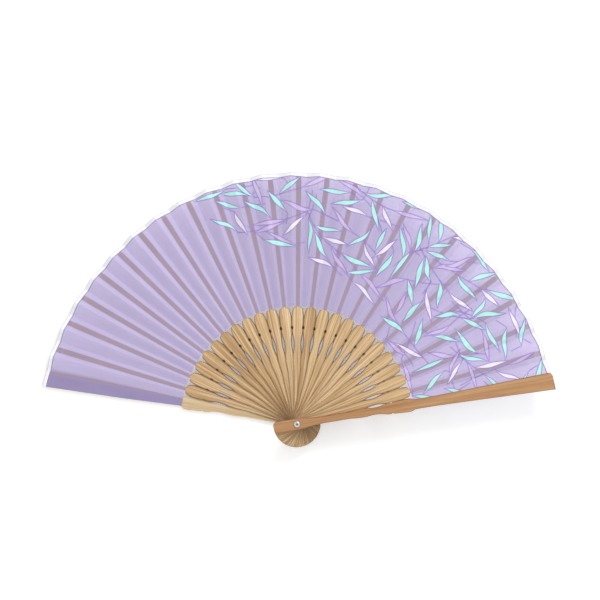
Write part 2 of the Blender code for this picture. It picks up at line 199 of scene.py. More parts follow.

# Burnt places of the sticks and the painted shade beside their edges and in their notches, in millimetres:
# widths at an edge, and shares of it by place along the stick
BURNT_AND_SHADE = (112, 76, 44)
BURN_AND_SHADE_WIDTH = 1.35
BURN_AND_SHADE_SHARES = [(-17.4, 0.0), (-6, 0.1), (4, 0.5), (14, 1.0), (86.6, 1.0)]
# Blackened edges by the tail, knuckle and head, which also paint the shade in the slits and between
# overlapping heads
CHARRED_AND_SHADE = (56, 36, 24)
CHAR_AND_SHADE_WIDTH = 0.6
CHAR_AND_SHADE_SHARES = [
    (-17.4, 0.5), (-6, 0.4), (8, 0.0), (18, 0.0), (48, 0.15),
    (54, 1.0), (66, 1.0), (68, 0.4), (84, 0.4), (86.6, 0.0),
]
# Scorch colour in the notches, which also paints the shade in them
SCORCHED_AND_SHADED = (60, 40, 28)
SCORCH_AND_SHADE_PLACE = (70.7, 4.2, 0)
SCORCH_AND_SHADE_SIZE = (1.45, 1.05, 1)
SCORCH_AND_SHADE_SOFT = (0.75, 1.15)
# Where the grain's bands make an edge's browning and painted shade fainter and stronger, and how much
BANDS_FROM, BANDS_TO = 0.35, 0.6
FAINTER, STRONGER = 0.6, 1.1
# How strongly the edges of the first sticks are browned and painted with shade, and how much less those of
# the last ones
BURN_AND_SHADE_MOST, BURN_AND_SHADE_LESS = 0.76, 0.2
# The notches' scorch marks and painted shade are fainter towards both ends of the fan
FADE_POWER = 3
FADE_SHARE = 0.75
# The front guard's rounded edges, darker within a band along its outline
GUARD_EDGE_TONE = (124, 76, 44)
GUARD_EDGE_WIDTH = 0.8
GUARD_EDGE_SHARE = 0.65

# Dark skin in the notches, for charring and painted shade: middle and radius of its round, the arc and the
# skin's thickness
SKIN_TONES = ((48, 32, 24), (88, 62, 44))
SKIN_PALER = 75
SKIN_X, SKIN_Y = 70.6, 4.7
SKIN_R = 1.0
SKIN_ARC_START, SKIN_ARC_STEP, SKIN_ARC_POINTS = 208, 12.4, 11
SKIN_ARC = [math.radians(SKIN_ARC_START + SKIN_ARC_STEP * i) for i in range(SKIN_ARC_POINTS)]
SKIN_T = 0.15

METAL_TONES = ((186, 188, 195), (216, 217, 222))

# Camera, light and floor
CAMERA_HEIGHT = 2.0
FRAME_WIDTH = 441.8 * MM
MIDDLE_Z = 12 * MM
SENSOR = 36.0
CAMERA_X, CAMERA_Y = 1.56 * MM, 91.03 * MM
CAMERA_ROLL = math.radians(0.4)
FILL = 0.80
OVERHEAD_FROM, OVERHEAD_TO = 0.95, 0.97
OVERHEAD_DARK = 0.03
KEY_AZIMUTH = math.radians(62)
KEY_ELEVATION = math.radians(42)
KEY_DISTANCE = 1.5
KEY_SIZE = 0.5
KEY_WATTS = 8.0
FLOOR_HALF = 4.0
FLOOR_WHITES = (0.88, 0.90)
FLOOR_GLOW = 0.31

# The rim slot's grey is painted shade on the tape's rounded outer edge
SLOTS = ("cloth", "doubled", "tape", "rim", "seam", "mint", "pale", "violet", "line")

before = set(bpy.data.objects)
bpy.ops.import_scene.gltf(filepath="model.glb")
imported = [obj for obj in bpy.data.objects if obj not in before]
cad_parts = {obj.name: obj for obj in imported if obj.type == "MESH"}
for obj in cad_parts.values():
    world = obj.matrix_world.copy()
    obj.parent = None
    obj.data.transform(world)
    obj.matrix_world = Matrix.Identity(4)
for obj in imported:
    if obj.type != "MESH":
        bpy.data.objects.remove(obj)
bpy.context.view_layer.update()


def srgb(red, green, blue):
    """A colour given in the display's steps of 255, in linear light."""
    out = []
    for value in (red, green, blue):
        share = value / 255
        out.append(share / 12.92 if share <= 0.04045 else ((share + 0.055) / 1.055) ** 2.4)
    return (*out, 1.0)


def make_object(name, verts, faces):
    """A new mesh object in the scene."""
    mesh = bpy.data.meshes.new(name)
    mesh.from_pydata(verts, [], faces)
    made = bpy.data.objects.new(name, mesh)
    bpy.context.scene.collection.objects.link(made)
    return made


# Section of the leaf, as in the CAD


def support_angle(number):
    """Direction of the back guard (0), a stick (1 to 23) or the front guard (24)."""
    return BACK_ANGLE - PITCH * number


def cloth_level(number):
    """Height of the middle of the cloth where it is glued to a stick or a guard."""
    if number == 0:
        return BACK_GUARD_Z + GUARD_T - RELIEF + CLOTH_GAP + CLOTH_T / 2
    if number == GAPS:
        return FRONT_GUARD_Z + RELIEF - CLOTH_GAP - CLOTH_T / 2
    stick_z = FIRST_STICK_Z + STICK_RISE * (number - 1)
    return stick_z + RIB_LIFT + RIB_T + CLOTH_GAP + CLOTH_T / 2


def fold_at(radius):
    """How far a fold stands off the glued cloth at a radius."""
    return FOLD_HEIGHT * radius / LEAF_OUTER


def mountain(number, radius):
    """Height of the fold towards the viewer."""
    if number in (0, GAPS):
        return cloth_level(number)
    ceiling = cloth_level(GAPS) - (GAPS - number) * LAYER
    return min(cloth_level(number) + fold_at(radius), ceiling)


def valley(number, radius):
    """Height of the fold away from the viewer."""
    if number == GAPS:
        return cloth_level(number)
    floor = cloth_level(0) + number * LAYER
    return max(cloth_level(number) - fold_at(radius), floor)


def rib_half(radius):
    """Half width of a rib at a radius."""
    along = (radius - HEAD_END_X) / (RIB_END_X - HEAD_END_X)
    return RIB_INNER_HALF + (RIB_OUTER_HALF - RIB_INNER_HALF) * along


def glued_edge(radius):
    """Half the angle over which the cloth lies flat on its rib."""
    return min((rib_half(radius) + GLUED_MARGIN) / radius, GLUED_HALF * GLUED_MOST)


def rim_radius(number, offset):
    """Radius of the leaf's rim, which flares out to both guards and dips at each valley."""
    from_back = PITCH * number + offset
    from_end = max(0.0, min(from_back, OPENING - from_back))
    near = max(0.0, 1 - from_end / (PITCH * FLARE_PITCHES))
    down = max(0.0, (offset + GLUED_HALF) / (2 * GLUED_HALF))
    up = (PITCH - GLUED_HALF - offset) / (PITCH - 2 * GLUED_HALF)
    return LEAF_OUTER + LEAF_FLARE * near**FLARE_POWER - RIM_DIP * min(down, up)


def flap_edge(radius):
    """Angle from the back guard's middle to the edge of the half pleat that covers it."""
    if radius < FLAP_BEND_X:
        start, end = (LEAF_INNER, FLAP_INNER_HALF), (FLAP_BEND_X, FLAP_BEND_HALF)
    else:
        start, end = (FLAP_BEND_X, FLAP_BEND_HALF), (LEAF_OUTER, FLAP_RIM_HALF)
    share = (radius - start[0]) / (end[0] - start[0])
    return (start[1] + (end[1] - start[1]) * share) / radius


def section(number, radius):
    """The fold lines of a pleat at a radius, as (angle clockwise from its stick, height)."""
    level = cloth_level(number)
    flat = glued_edge(radius)
    start = GLUED_HALF if number > 0 else flap_edge(radius)
    line = [
        (-start, mountain(number, radius)),
        (-flat, level),
        (flat, level),
        (GLUED_HALF, valley(number, radius)),
    ]
    if number < GAPS:
        line.append((PITCH - GLUED_HALF, mountain(number + 1, radius)))
    return line


def long_section(number, radius):
    """The section with one more fold line of each neighbour, so that seams round off alike."""
    line = section(number, radius)
    if number > 0:
        line.insert(0, (GLUED_HALF - PITCH, valley(number - 1, radius)))
    if number < GAPS:
        flat = glued_edge(radius)
        line.append((PITCH - flat, cloth_level(number + 1)))
    return line


def height_and_slope(number, radius, offset):
    """Height of the cloth's middle and its slope across the pleat, with its folds rounded."""
    line = long_section(number, radius)
    spans = list(zip(line, line[1:]))
    slopes = [(b[1] - a[1]) / ((b[0] - a[0]) * radius) for a, b in spans]
    for i, (a, b) in enumerate(spans):
        if offset <= b[0] or i == len(spans) - 1:
            height = a[1] + slopes[i] * (offset - a[0]) * radius
            slope = slopes[i]
            near = [(a, i - 1, i), (b, i, i + 1)]
            break
    for knot, left, right in near:
        away = (offset - knot[0]) * radius
        if left < 0 or right >= len(slopes) or abs(away) >= FOLD_ROUND:
            continue
        turn = slopes[right] - slopes[left]
        height = knot[1] + slopes[left] * away + turn * (away + FOLD_ROUND) ** 2 / (4 * FOLD_ROUND)
        slope = slopes[left] + turn * (away + FOLD_ROUND) / (2 * FOLD_ROUND)
    return height, slope


def across(number, radius, offset):
    """Distance along the cloth from the rib's middle."""
    total = 0.0
    last = (0.0, cloth_level(number))
    side = 1 if offset > 0 else -1
    for knot in sorted(section(number, radius), key=lambda k: k[0] * side):
        if knot[0] * side <= 0:
            continue
        run = (knot[0] - last[0]) * radius
        length = math.hypot(run, knot[1] - last[1])
        if offset * side <= knot[0] * side:
            share = (offset - last[0]) / (knot[0] - last[0])
            return side * (total + length * share)
        total += length
        last = knot
    return side * total


def nested_angle(number, radius, offset):
    """Where a point of the free panel lies in the closed fan, between its two glued panels."""
    low, high = valley(number, radius), mountain(number + 1, radius)
    height = low + (high - low) * (offset - GLUED_HALF) / (PITCH - 2 * GLUED_HALF)
    level, flat = cloth_level(number), glued_edge(radius)
    knots = [(low, GLUED_HALF), (level + NEST_LOW, flat), (level + NEST_HIGH, -flat), (high, -GLUED_HALF)]
    for (z0, a0), (z1, a1) in zip(knots, knots[1:]):
        if height <= z1 or z1 == high:
            return a0 + (a1 - a0) * (height - z0) / (z1 - z0)
    return -GLUED_HALF


def nest_line(number, radius, above):
    """Where the free panel passes a height over the glued cloth."""
    low, high = valley(number, radius), mountain(number + 1, radius)
    share = (cloth_level(number) + above - low) / (high - low)
    return GLUED_HALF + (PITCH - 2 * GLUED_HALF) * share


# Print, with its points as complex numbers in millimetres


def blade(leaf, grow=0.0):
    """Outline of one slender leaf of the print, from its base to its point."""
    base, heading, length, width, bend, belly = leaf
    left, right = [], []
    for i in range(BLADE_STEPS + 1):
        t = i / BLADE_STEPS
        along = -grow * 2 + t * (length + grow * 5)
        s = max(0.0, min(1.0, along / length))
        swing = bend * length * (math.sin(math.pi * s) + 0.5 * math.sin(2 * math.pi * s))
        half = width / 2 * math.sin(math.pi * t**belly) ** 1.45 + grow * math.sin(math.pi * t) ** 0.4
        left.append(complex(along, swing + half))
        right.append(complex(along, swing - half))
    turn = cmath.rect(1, heading)
    return [base + point * turn for point in left + right[-2:0:-1]]


def thin_line(points):
    """Outline of a thin line through points."""
    left, right = [], []
    for i, point in enumerate(points):
        run = points[min(len(points) - 1, i + 1)] - points[max(0, i - 1)]
        step = run / abs(run) * LINE_HALF * 1j
        left.append(point + step)
        right.append(point - step)
    return left + right[::-1]


def in_print(point, margin=0.0):
    """True where the print may lie."""
    radius, angle = abs(point), math.degrees(cmath.phase(point))
    rim, inner = LEAF_OUTER / MM, LEAF_INNER / MM
    if not inner + margin < radius < rim + PRINT_OVER or not PRINT_ANGLES[0] < angle < PRINT_ANGLES[1]:
        return False
    return radius > rim - np.interp(angle, *zip(*PRINT_DEPTHS)) + margin


def any_point(draw):
    """A point anywhere on the printed side of the leaf."""
    radius = math.sqrt(draw.uniform(LEAF_INNER**2, LEAF_OUTER**2)) / MM
    return cmath.rect(radius, math.radians(draw.uniform(*PRINT_ANGLES)))


def scarce(leaves, kinds):
    """The kind of leaf that lies furthest below its share."""
    return min(kinds, key=lambda kind: sum(1 for leaf in leaves if leaf[0] == kind) / KIND_SHARES[kind])


def try_leaf(draw, kind, base, heading, taken):
    """One leaf of a kind from a point, or nothing where others leave it no room."""
    short, long, thin, wide, room, end_room = LEAF_KINDS[kind]
    length, width = draw.uniform(short, long), draw.uniform(thin, wide)
    bend, belly = draw.uniform(*LEAF_BENDS), draw.uniform(*LEAF_BELLIES)
    shares = np.linspace(0, 1, SPINE_POINTS)
    spine = base + cmath.rect(length, heading) * shares
    if not (in_print(spine[0], -PRINT_STRAY) and in_print(spine[-1], -PRINT_STRAY)):
        return None
    rooms = end_room + (room - end_room) * np.sin(np.pi * shares) ** ROOM_POWER
    turn_apart = NEIGHBOUR_TURN * (VIOLET_TURN_SHARE if kind == "violet" else 1.0)
    for other, other_rooms, other_heading in taken:
        gaps = abs(other[:, None] - spine)
        turned = abs((heading - other_heading + math.pi / 2) % math.pi - math.pi / 2)
        beside = turned < turn_apart and (gaps < NEIGHBOUR).sum() > NEIGHBOUR_POINTS
        if beside or (gaps < other_rooms[:, None] + rooms).any():
            return None
    taken.append((spine, rooms, heading))
    return kind, (base, heading, length, width, bend, belly)


def grow_twig(draw, taken, lines, leaves):
    """Adds a curved twig and the leaves that find room at its nodes."""
    point, turn = any_point(draw), draw.uniform(0, 2 * math.pi)
    curl, gap = draw.uniform(*TWIG_CURLS), draw.uniform(*TWIG_GAPS)
    side, nodes = draw.choice((-1, 1)), draw.choice(TWIG_NODES)
    if not in_print(point):
        return
    line, used = [point], 0
    for node in range(nodes):
        for _ in range(TWIG_STEPS):
            turn += curl * gap / TWIG_STEPS
            point += cmath.rect(gap / TWIG_STEPS, turn)
            line.append(point)
        for _ in range(LEAF_TRIES):
            side = -side
            lean = side * math.radians(draw.uniform(*TWIG_LEANS))
            lean /= END_LEAN_PART if node == nodes - 1 else 1
            base = point + cmath.rect(LEAF_STALK, turn + lean)
            leaf = try_leaf(draw, scarce(leaves, KIND_SHARES), base, turn + lean, taken)
            if leaf:
                leaves.append(leaf)
                lines.append([point, base])
                used = len(line)
                break
    lines.append([p for p in line[:used] if in_print(p, -PRINT_STRAY)])


def fill_print(draw, taken, lines, leaves, kinds):
    """Adds single leaves on short stalks where the twigs left room."""
    for _ in range(FILL_TRIES):
        base, heading = any_point(draw), draw.uniform(0, 2 * math.pi)
        if not in_print(base) or scarce(leaves, KIND_SHARES) not in kinds:
            continue
        leaf = try_leaf(draw, scarce(leaves, kinds), base, heading, taken)
        if leaf:
            leaves.append(leaf)
            bend, count = draw.uniform(*STALK_BENDS), draw.randint(*STALK_POINTS)
            stalk = [base - cmath.rect(d, heading + bend * d) for d in range(count)]
            lines.append([p for p in stalk if in_print(p, -PRINT_STRAY)])


def make_print():
    """The leaf's print: (slot name, outline), the later ones on top."""
    draw = random.Random(PRINT_SEED)
    taken, lines, leaves = [], [], []
    for _ in range(TWIG_TRIES):
        grow_twig(draw, taken, lines, leaves)
    for kinds in (("mint", "pale"), ("violet",), ("mint", "pale"), ("violet",)):
        fill_print(draw, taken, lines, leaves, kinds)
    made = [("line", thin_line(line)) for line in lines if len(line) > 1]
    order = ("violet", "pale", "mint")
    for kind, leaf in sorted(leaves, key=lambda leaf: order.index(leaf[0])):
        made.append(("line", blade(leaf, OUTLINE)))
        made.append((kind, blade(leaf)))
    return made


def to_local(outline, angle):
    """An outline of the open leaf beside its stick, as (across, along)."""
    turned = [point * cmath.rect(1, -angle) for point in outline]
    return [(-point.imag, point.real) for point in turned]


# Outline of the sticks, as in the CAD, in millimetres


def eased(start, end, steps):
    """Points of an ogee from one (place, half width) pair to another, without the first."""
    points = []
    for i in range(1, steps + 1):
        t = i / steps
        ease = t * t * (3 - 2 * t)
        points.append((start[0] + (end[0] - start[0]) * t, start[1] + (end[1] - start[1]) * ease))
    return points


def outline_halves(head):
    """Outline of a stick or guard with a given head."""
    neck = TAIL + [PIVOT] + eased(PIVOT, NECK, 4)
    knuckle = [NECK_END] + eased(NECK_END, KNUCKLE, 2)
    waist = [KNUCKLE_END] + eased(KNUCKLE_END, WAIST, 2)
    shoulder = [WAIST_END] + eased(WAIST_END, SHOULDER, 4)
    return neck + knuckle + waist + shoulder + [HEAD_START] + head


# Materials


def node_adder(tree):
    """A short way to add nodes to a tree, with inputs by name or number."""

    def add(kind, inputs=(), **settings):
        node = tree.nodes.new(kind)
        for key, value in settings.items():
            setattr(node, key, value)
        for key, value in dict(inputs).items():
            if isinstance(value, bpy.types.NodeSocket):
                tree.links.new(value, node.inputs[key])
            else:
                node.inputs[key].default_value = value
        return node

    return add


def node_maker(material):
    """Short ways to add nodes to a material and to link them to its shader, and that shader."""
    material.use_nodes = True
    tree = material.node_tree
    shader = tree.nodes["Principled BSDF"]

    def link(value, socket):
        tree.links.new(value, shader.inputs[socket])

    return node_adder(tree), link, shader


def ramp(add, fac, stops):
    """A colour ramp over a value."""
    node = add("ShaderNodeValToRGB", {"Fac": fac})
    elements = node.color_ramp.elements
    elements[0].position, elements[0].color = stops[0]
    elements[1].position, elements[1].color = stops[-1]
    for position, colour in stops[1:-1]:
        elements.new(position).color = colour
    return node.outputs["Color"]


def math_node(add, operation, first, second=0.0):
    """One Math node's value."""
    return add("ShaderNodeMath", {0: first, 1: second}, operation=operation).outputs["Value"]


def mix(add, fac, first, second):
    """Two colours mixed."""
    return add("ShaderNodeMix", {0: fac, 6: first, 7: second}, data_type="RGBA").outputs[2]


def map_range(add, value, start, end, low=0.0, high=1.0, **settings):
    """A value carried from one range to another, and held at its ends."""
    inputs = {"Value": value, "From Min": start, "From Max": end, "To Min": low, "To Max": high}
    return add("ShaderNodeMapRange", inputs, **settings).outputs["Result"]


def noise_at(add, place, detail, roughness=0.5, scale=1.0):
    """Smooth noise over a place."""
    inputs = {"Vector": place, "Scale": scale, "Detail": detail, "Roughness": roughness}
    return add("ShaderNodeTexNoise", inputs).outputs["Fac"]


def stretched(add, place, scale, moved=(0, 0, 0), turned=0.0):
    """A place measured in steps of a scale, along an angle."""
    inputs = {"Vector": place, "Location": moved, "Rotation": (0, 0, turned), "Scale": scale}
    return add("ShaderNodeMapping", inputs, vector_type="TEXTURE").outputs["Vector"]


def blended(add, first, second, share):
    """Two values added, the first by a share and the second by the rest."""
    part = math_node(add, "MULTIPLY", first, share)
    return math_node(add, "ADD", part, math_node(add, "MULTIPLY", second, 1 - share))


def relief(add, link, height, strength, distance):
    """Fine relief of a surface from a height."""
    bump = add("ShaderNodeBump", {"Strength": strength, "Distance": distance, "Height": height})
    link(bump.outputs["Normal"], "Normal")


def share_along(add, place_x, shares):
    """A share that changes along a stick, from (place in millimetres, share) pairs."""
    first, last = shares[0][0], shares[-1][0]
    stops = [((x - first) / (last - first), (share, share, share, 1)) for x, share in shares]
    return ramp(add, map_range(add, place_x, first, last), stops)


def inward_of_edge(add, parts, halves):
    """How far a place lies inside an outline of (place along, half width) pairs."""
    most = max(half for _, half in halves)
    share = share_along(add, parts.outputs["X"], [(x, half / most) for x, half in halves])
    beside = math_node(add, "ABSOLUTE", parts.outputs["Y"])
    return math_node(add, "SUBTRACT", math_node(add, "MULTIPLY", share, most), beside)


def notch_fade(number):
    """How much fainter a stick's notches are scorch-marked and painted with shade, from the fan's middle to
    its ends.
    """
    middle = (INNER_STICKS - 1) / 2
    return min(1.0, abs(number - middle) / middle) ** FADE_POWER


def scorch_and_shade_marks(add, place, strength, colour):
    """Brown scorch spots in a stick's two notches, which also paint the shade in them, from a place in
    millimetres along the stick.
    """
    parts = add("ShaderNodeSeparateXYZ", {"Vector": place})
    beside = math_node(add, "ABSOLUTE", parts.outputs["Y"])
    joined = add("ShaderNodeCombineXYZ", {"X": parts.outputs["X"], "Y": beside}).outputs["Vector"]
    away = add("ShaderNodeVectorMath", {0: joined, 1: SCORCH_AND_SHADE_PLACE}, operation="SUBTRACT").outputs["Vector"]
    scaled = add("ShaderNodeVectorMath", {0: away, 1: SCORCH_AND_SHADE_SIZE}, operation="DIVIDE").outputs["Vector"]
    length = add("ShaderNodeVectorMath", {0: scaled}, operation="LENGTH").outputs["Value"]
    return mix(add, map_range(add, length, *SCORCH_AND_SHADE_SOFT, strength, 0.0), colour, srgb(*SCORCHED_AND_SHADED))


def darker_guard_edges(add, place, colour):
    """Edges and tip of the front guard, darker within a band along its outline."""
    parts = add("ShaderNodeSeparateXYZ", {"Vector": place})
    beside = inward_of_edge(add, parts, outline_halves(GUARD_HEAD))
    before_tip = math_node(add, "SUBTRACT", GUARD_HEAD[-1][0], parts.outputs["X"])
    inward = math_node(add, "MINIMUM", beside, before_tip)
    over = map_range(add, inward, 0.0, GUARD_EDGE_WIDTH, GUARD_EDGE_SHARE, 0.0)
    return mix(add, over, colour, srgb(*GUARD_EDGE_TONE))


def burnt_and_shaded_edges(add, place, bands, strength, colour):
    """Edges of a stick browned where it was cut and blackened by charring beside its knuckle and head, with
    painted shade in both where neighbours overlap and slits open.
    """
    parts = add("ShaderNodeSeparateXYZ", {"Vector": place})
    along = parts.outputs["X"]
    inward = inward_of_edge(add, parts, outline_halves(STICK_HEAD))
    # The browning of the cut edge, with the painted shade that the overlapping neighbour would cast
    over = map_range(add, inward, 0.0, BURN_AND_SHADE_WIDTH, strength, 0.0, interpolation_type="SMOOTHSTEP")
    over = math_node(add, "MULTIPLY", over, share_along(add, along, BURN_AND_SHADE_SHARES))
    uneven = map_range(add, bands, BANDS_FROM, BANDS_TO, FAINTER, STRONGER)
    burn_and_shade = mix(add, math_node(add, "MULTIPLY", over, uneven), colour, srgb(*BURNT_AND_SHADE))
    # Blackening beside the tail, knuckle and head, which also paints the shade in the slits and between the
    # heads
    char_and_shade = map_range(add, inward, 0.0, CHAR_AND_SHADE_WIDTH, 1.0, 0.0)
    char_and_shade = math_node(add, "MULTIPLY", char_and_shade, share_along(add, along, CHAR_AND_SHADE_SHARES))
    return mix(add, char_and_shade, burn_and_shade, srgb(*CHARRED_AND_SHADE))


def bamboo(name, angle, seed, tones, roughness=0.5, burn_and_shade=0.0, scorched_and_shaded=1.0, guard_edges_darker=False):
    """Bamboo of three tones, with its fibres along a stick that lies at an angle."""
    material = bpy.data.materials.new(name)
    add, link, shader = node_maker(material)
    place = add("ShaderNodeTexCoord").outputs["Object"]
    shift = (SEED_SHIFT[0] * seed, SEED_SHIFT[1] * seed, 0.0)
    dark, middle, light = (srgb(*tone) for tone in tones)
    fibres = noise_at(add, stretched(add, place, FIBRES, shift, angle), detail=5.0, roughness=0.62)
    bands = noise_at(add, stretched(add, place, BANDS, shift, angle), detail=2.0)
    pores = noise_at(add, stretched(add, place, PORES, shift, angle), detail=1.0, roughness=0.4)
    grain = blended(add, fibres, bands, FIBRE_SHARE)
    marks = ramp(add, pores, list(zip(PORES_AT, ((0, 0, 0, 1), (1, 1, 1, 1)))))
    colour = ramp(add, grain, list(zip(TONES_AT, (dark, middle, light))))
    marked = tuple(PORE_TONE * value for value in dark[:3]) + (1.0,)
    colour = mix(add, math_node(add, "MULTIPLY", marks, PORE_SHARE), colour, marked)
    # Edges browned and notches scorch-marked, both also painted with shade
    if burn_and_shade:
        in_mm = stretched(add, place, (MM, MM, MM), turned=angle)
        colour = burnt_and_shaded_edges(add, in_mm, bands, burn_and_shade, colour)
        colour = scorch_and_shade_marks(add, in_mm, scorched_and_shaded, colour)
    if guard_edges_darker:
        colour = darker_guard_edges(add, stretched(add, place, (MM, MM, MM), turned=angle), colour)
    link(colour, "Base Color")
    link(map_range(add, fibres, 0.0, 1.0, roughness - SMOOTHER, roughness + ROUGHER), "Roughness")
    height = math_node(add, "SUBTRACT", fibres, math_node(add, "MULTIPLY", marks, PORE_DEPTH))
    relief(add, link, height, strength=0.5, distance=0.06 * MM)
    shader.inputs["Specular IOR Level"].default_value = 0.35
    return material


def charred_and_shaded(number):
    """Wood blackened by the hot iron that made a stick's notches, and dark enough to paint the shade in
    them.
    """
    material = bpy.data.materials.new(f"charred_shaded_bamboo_{number:02d}")
    add, link, shader = node_maker(material)
    place = add("ShaderNodeTexCoord").outputs["Object"]
    grain = noise_at(add, place, detail=3.0, scale=1800.0)
    paler = SKIN_PALER * notch_fade(number)
    dark, light = (srgb(*(value + paler for value in tone)) for tone in SKIN_TONES)
    link(ramp(add, grain, [(0.35, dark), (0.65, light)]), "Base Color")
    relief(add, link, grain, strength=0.4, distance=0.05 * MM)
    shader.inputs["Roughness"].default_value = 0.85
    return material


def bright_metal(name):
    """Nickelled rivet metal with faint turning marks."""
    material = bpy.data.materials.new(name)
    add, link, shader = node_maker(material)
    place = add("ShaderNodeTexCoord").outputs["Object"]
    grain = noise_at(add, place, detail=3.0, scale=900.0)
    rings = add(
        "ShaderNodeTexWave",
        {"Vector": place, "Scale": 700.0, "Distortion": 1.5, "Detail": 2.0},
        wave_type="RINGS",
        rings_direction="Z",
    ).outputs["Fac"]
    dark, light = (srgb(*tone) for tone in METAL_TONES)
    link(map_range(add, grain, 0.0, 1.0, low=0.1, high=0.26), "Roughness")
    link(ramp(add, grain, [(0.3, dark), (0.7, light)]), "Base Color")
    relief(add, link, rings, strength=0.12, distance=0.02 * MM)
    shader.inputs["Metallic"].default_value = 1.0
    return material


def weave(add, parts):
    """Height of a plain weave."""
    rate = 2 * math.pi / THREAD
    warp, weft = (
        math_node(add, "SINE", math_node(add, "MULTIPLY", parts.outputs[axis], rate)) for axis in ("X", "Y")
    )
    return math_node(add, "MULTIPLY", warp, weft)


def over_rib(add, parts, rib_tint, colour):
    """Cloth darker where a rib shows through it, and past the rib's end."""
    across_rib = math_node(add, "ABSOLUTE", parts.outputs["X"])
    along = parts.outputs["Y"]
    half = map_range(add, along, HEAD_END_X, RIB_END_X, RIB_INNER_HALF, RIB_OUTER_HALF)
    within = math_node(add, "SUBTRACT", half, across_rib)
    over = map_range(add, within, -RIB_EDGE_SOFT, RIB_EDGE_SOFT, interpolation_type="SMOOTHSTEP")
    past = map_range(add, along, RIB_END_X - RIB_END_SOFT, RIB_END_X + RIB_END_SOFT)
    colour = mix(add, math_node(add, "MULTIPLY", over, rib_tint), colour, srgb(*OVER_RIB))
    return mix(add, math_node(add, "MULTIPLY", over, past), colour, srgb(*PAST_RIB))


def beside_doubled(add, parts, colour):
    """The stripe beside the doubled cloth on the back guard, and the cloth beyond it."""
    for middle, tone in ((DOUBLED_TO, STRIPE), (STRIPE_TO, BESIDE_STRIPE)):
        share = map_range(add, parts.outputs["X"], middle - STRIPE_SOFT, middle + STRIPE_SOFT)
        colour = mix(add, share, colour, srgb(*tone))
    return colour


def cloth_material(name, tones, alpha, roughness=0.8, rib_tint=0.0, stripe=False):
    """Thin woven cloth or ink on it, in the cloth's own coordinates, so that it folds with it."""
    material = bpy.data.materials.new(name)
    add, link, shader = node_maker(material)
    place = add("ShaderNodeUVMap", uv_map="cloth").outputs["UV"]
    parts = add("ShaderNodeSeparateXYZ", {"Vector": place})
    streaks = noise_at(add, stretched(add, place, STREAKS), detail=3.0, roughness=0.6)
    clouds = noise_at(add, stretched(add, place, CLOUDS), detail=2.0)
    both = [srgb(*tone) for tone in tones]
    colour = ramp(add, blended(add, streaks, clouds, STREAK_SHARE), list(zip(CLOTH_TONES_AT, both)))
    if rib_tint:
        colour = over_rib(add, parts, rib_tint, colour)
    if stripe:
        colour = beside_doubled(add, parts, colour)
    link(colour, "Base Color")
    threads = math_node(add, "MULTIPLY", weave(add, parts), WEAVE_HEIGHT)
    height = math_node(add, "ADD", threads, math_node(add, "MULTIPLY", clouds, CLOUD_HEIGHT))
    relief(add, link, height, strength=0.35, distance=0.08 * MM)
    shader.inputs["Roughness"].default_value = roughness
    shader.inputs["Specular IOR Level"].default_value = 0.2
    shader.inputs["Sheen Weight"].default_value = 0.08
    shader.inputs["Alpha"].default_value = alpha
    return material


def make_cloth_materials():
    """For each stretch of the leaf its last pleat and its materials, in the order of SLOTS."""
    shared = [
        cloth_material("lilac_cloth_doubled", ((160, 146, 188), (168, 154, 196)), 0.9, stripe=True),
        cloth_material("white_tape", ((244, 244, 248), (252, 252, 254)), 1.0),
        # Grey for painted shade on the tape's rounded outer edge
        cloth_material("tape_rim_shade", ((210, 209, 214), (220, 219, 223)), 1.0),
        cloth_material("tape_seam", ((138, 122, 164), (152, 136, 178)), 0.9),
        cloth_material("mint_ink", ((182, 247, 230), (200, 255, 243)), 0.96, 0.6),
        cloth_material("pale_ink", ((246, 236, 250), (254, 249, 255)), 0.93, 0.6),
        cloth_material("violet_ink", ((220, 200, 245), (236, 220, 250)), 0.68, 0.6),
        cloth_material("line_ink", ((148, 122, 204), (166, 138, 216)), 0.92, 0.6),
    ]
    stretches = []
    for last, darker, rib_tint in LILAC_STRETCHES:
        tones = [[value - darker for value in tone] for tone in LILAC]
        plain = cloth_material(f"lilac_cloth_to_{last:02d}", tones, LILAC_ALPHA, rib_tint=rib_tint)
        stretches.append((last, [plain] + shared))
    return stretches


# Pleats


def columns_at(number, radius):
    """Angles of the fine fold lines of a pleat at a radius."""
    near = FOLD_ROUND / radius
    flat = glued_edge(radius)
    if number == 0:
        edge = flap_edge(radius)
        angles = [-edge, -edge / 2, DOUBLED_TO / radius, GLUED_HALF - near]
    else:
        left = (GLUED_HALF + flat) / 2
        angles = [-GLUED_HALF, near - GLUED_HALF, -left, -flat - near, near - flat]
        angles += [flat - near, flat + near, left, GLUED_HALF - near]
    if number < GAPS:
        low, high = nest_line(number, radius, NEST_LOW), nest_line(number, radius, NEST_HIGH)
        end = PITCH - GLUED_HALF
        low_near = min(near, (low - GLUED_HALF) * CLOSE_SHARE)
        high_near = min(near, (end - high) * CLOSE_SHARE)
        angles += [GLUED_HALF, GLUED_HALF + low_near, (GLUED_HALF + low_near + low) / 2, low, high]
        angles += [(high + end - high_near) / 2, end - high_near, end]
    else:
        angles.append(GLUED_HALF)
    return angles


def rows_at(number, offset):
    """Radii of the rings of a pleat along one fold line."""
    rim = rim_radius(number, offset)
    hem = rim - HEM_W
    depth = hem - HEM_STEP - SEAM_LINE - LEAF_INNER
    rows = [LEAF_INNER + depth * i / CLOTH_ROWS for i in range(CLOTH_ROWS + 1)]
    return rows + [hem - HEM_STEP, hem, rim - RIM_ROUND, rim]


